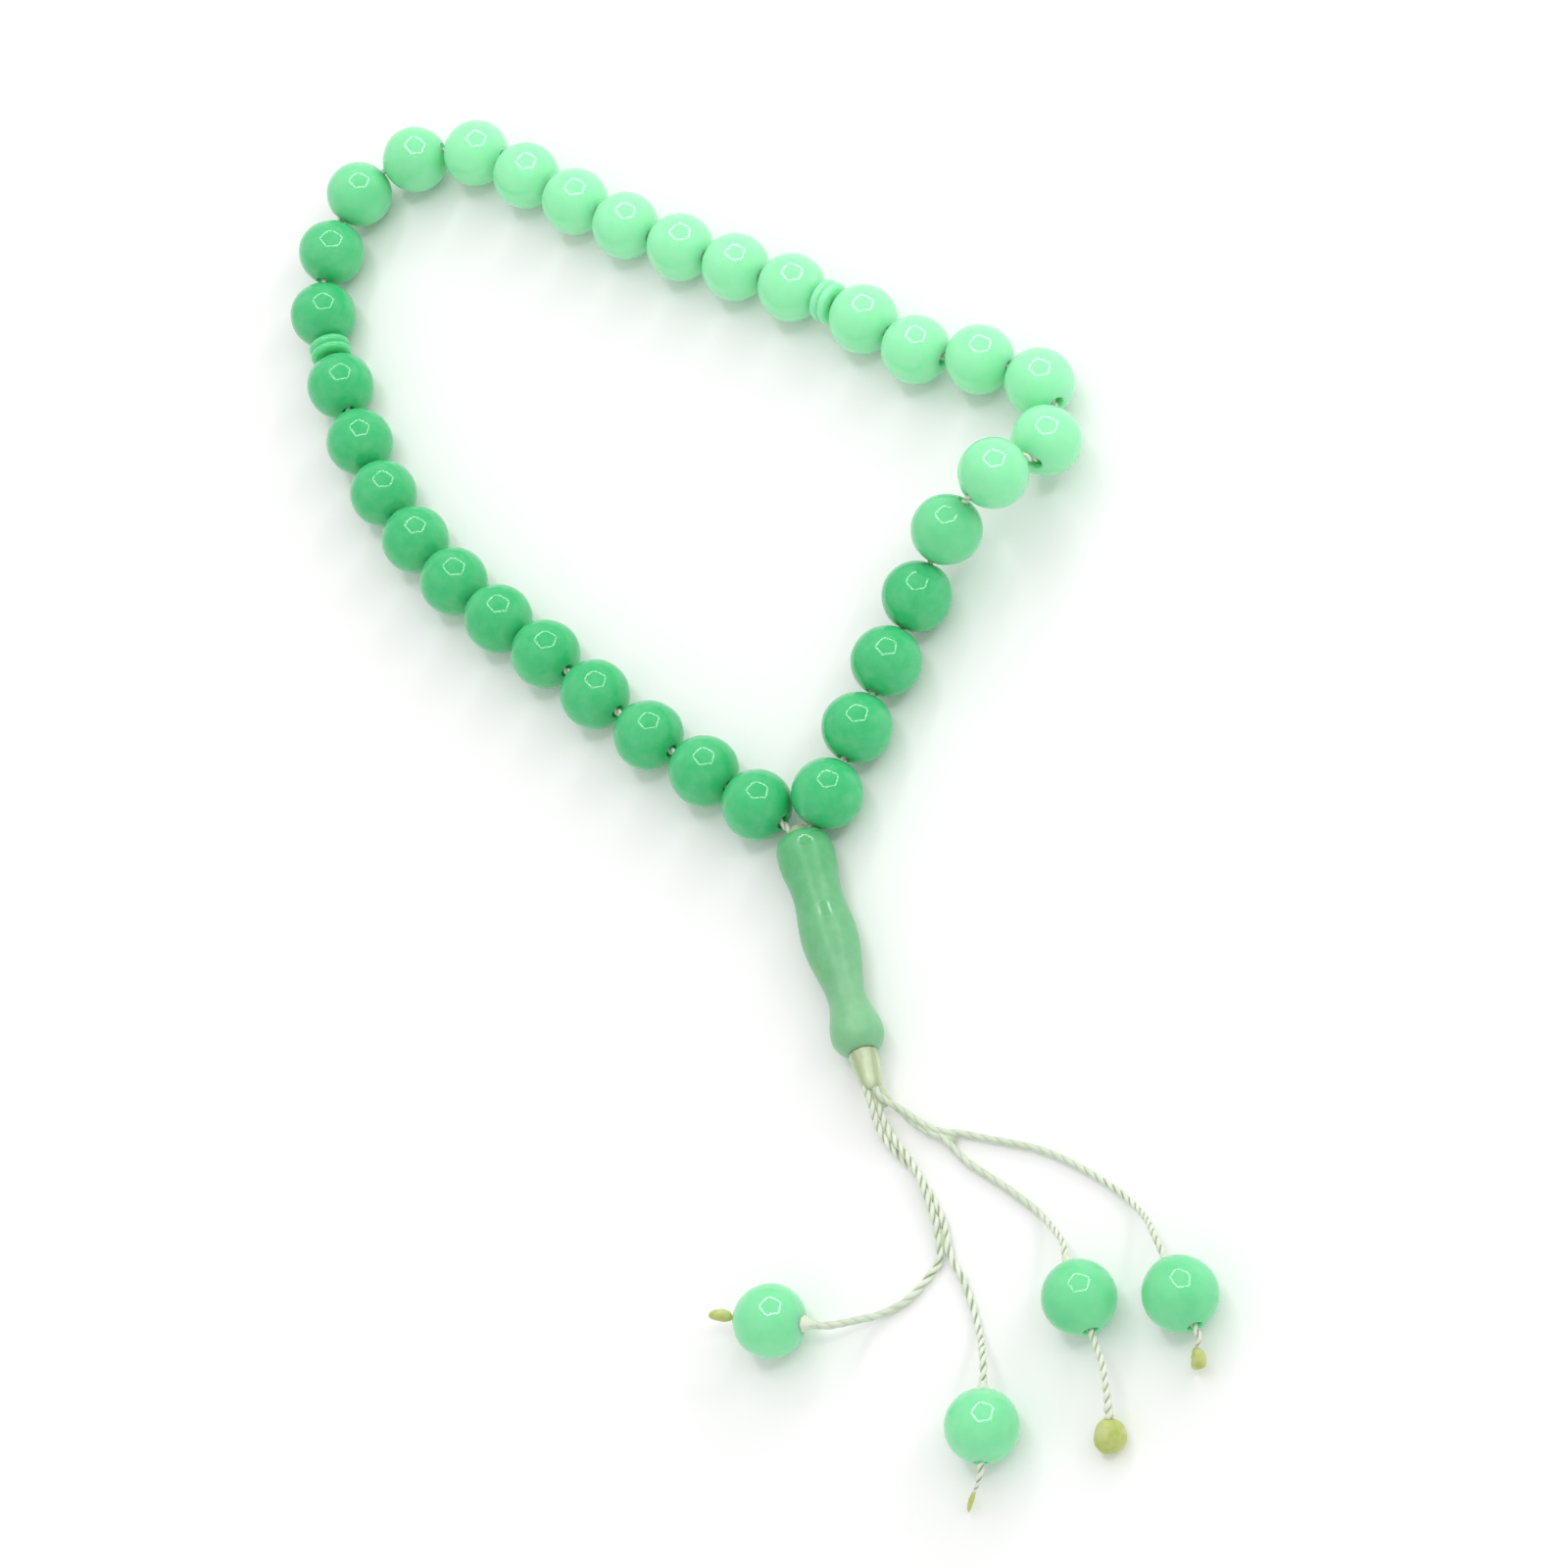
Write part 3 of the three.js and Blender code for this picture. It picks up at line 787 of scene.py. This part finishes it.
# Where a strand enters its bead it spreads and is stuck with a little glue.
for number, (length, width) in enumerate(((1.7, 0.95), (0.8, 0.8), (0.9, 0.75), (0.7, 0.72)), 1):
    heading = math.radians(STRANDS[number - 1]["heading"])
    forward = np.array((math.cos(heading), math.sin(heading), 0))
    mouth = centre_of(f"tassel_bead_{number}") - forward * (BEAD_RADIUS - 0.12 * MM)
    slim = STRANDS[number - 1]["thickness"] / 2
    flare_outline = [(slim * 0.9, -length), (slim * 1.05, -length + 0.05)]
    flare_outline += [
        (slim * 1.05 + (width - slim * 1.05) * t**2.2, -length * (1 - t)) for t in np.linspace(0.1, 1, 12)
    ]
    flare_outline += [(width * 0.92, 0.12), (width * 0.6, 0.2)]
    rings = lathe(mouth, forward, mm(flare_outline), FLARE_SIDES)
    chance = np.random.default_rng(number)
    turn = around(FLARE_SIDES)
    lumps = 1 + 0.05 * np.sin(3 * turn + chance.uniform(0, 6))
    lumps += 0.04 * np.sin(7 * turn + chance.uniform(0, 6))
    heights = [height * MM for _, height in flare_outline]
    rings = swollen(rings, mouth, forward, heights, lumps[None, :])
    made = mesh_object(f"flare_{number}", [rings], **glue_values(rings, FLARE_GLAZE))
    finish_piece(made, CORD, f"tassel_bead_{number}", "tassel_cord")

# A dome of glue closes the top of the head bead round the two legs of the thread.
dome_outline = [
    (0.3, -1.35), (0.6, -1.3), (0.9, -1.15), (1.1, -0.95), (1.25, -0.7), (1.4, -0.45), (1.5, -0.25),
    (1.6, -0.05), (1.3, 0.3), (1.2, 1.2), (0.3, 1.25),
]
turn = around(DOME_SIDES)
lumps = 1 + 0.06 * np.sin(2 * turn) + 0.04 * np.sin(5 * turn)
dome = lathe(HEAD_TOP, HEAD_AXIS, mm(dome_outline), DOME_SIDES)
dome = swollen(dome, HEAD_TOP, HEAD_AXIS, [height * MM for _, height in dome_outline], lumps[None, :])
for neighbour in ("counting_bead_01", "counting_bead_33"):
    from_bead = dome - centre_of(neighbour)
    distance = np.linalg.norm(from_bead, axis=2)[:, :, None]
    dome = dome + from_bead / distance * np.maximum(0, BEAD_RADIUS + DOME_CLEARANCE - distance)
made = mesh_object("glue_dome", [dome], **glue_values(dome, DOME_GLAZE))
finish_piece(made, GLUED_CORD, "string", "sealed_end")

# ---- Floor and light ----
floor_mesh = bpy.data.meshes.new("floor")
half = FLOOR_SIDE / 2
corners = [(-half, -half), (half, -half), (half, half), (-half, half)]
floor_mesh.from_pydata([(x, y, -FLOOR_DROP) for x, y in corners], [], [(0, 1, 2, 3)])
floor = bpy.data.objects.new("floor", floor_mesh)
bpy.context.scene.collection.objects.link(floor)
paper = Shader("pale_paper", Roughness=0.9, Specular_IOR_Level=0.1)
fleck = paper.noise(paper.place(), 60, 4.0)
floor_mesh.materials.append(
    paper.join(Base_Color=paper.mix(fleck, (0.9, 0.9, 0.9, 1), (0.92, 0.92, 0.91, 1)))
)

world = bpy.data.worlds.new("studio")
world.use_nodes = True
world.node_tree.nodes["Background"].inputs["Color"].default_value = (1, 1, 1, 1)
world.node_tree.nodes["Background"].inputs["Strength"].default_value = SKY_STRENGTH
bpy.context.scene.world = world

# A frame of strip lamps, whose outline shows as a faint ring on each bead.
LAMP_TARGET = Vector((0, -0.01, 0))
LAMP_WAY = Vector((0.537, 0.108, 0.836)).normalized()
LAMP_DISTANCE = 0.9
LAMPS = 5
LAMP_RING_RADIUS = 0.47
LAMP_WIDTH = 0.085
LAMP_POWER = 1.15
lamp_side = LAMP_WAY.cross(Vector((0, 0, 1))).normalized()
lamp_up = lamp_side.cross(LAMP_WAY)
for i in range(LAMPS):
    angle = 2 * math.pi * (i + 0.5) / LAMPS
    spoke = lamp_side * math.cos(angle) + lamp_up * math.sin(angle)
    lamp = bpy.data.objects.new(f"strip_lamp_{i + 1}", bpy.data.lights.new(f"strip_lamp_{i + 1}", "AREA"))
    bpy.context.scene.collection.objects.link(lamp)
    lamp.data.shape = "RECTANGLE"
    lamp.data.size = 1.9 * LAMP_RING_RADIUS * math.tan(math.pi / LAMPS)
    lamp.data.size_y = LAMP_WIDTH
    lamp.data.energy = LAMP_POWER
    lamp.location = LAMP_TARGET + LAMP_WAY * LAMP_DISTANCE + spoke * LAMP_RING_RADIUS
    facing = (lamp.location - LAMP_TARGET).normalized()
    along = facing.cross(spoke).normalized()
    matrix = [along, facing.cross(along), facing]
    lamp.rotation_mode = "QUATERNION"
    lamp.rotation_quaternion = Matrix(matrix).transposed().to_quaternion()

bpy.context.scene.view_settings.view_transform = "Standard"
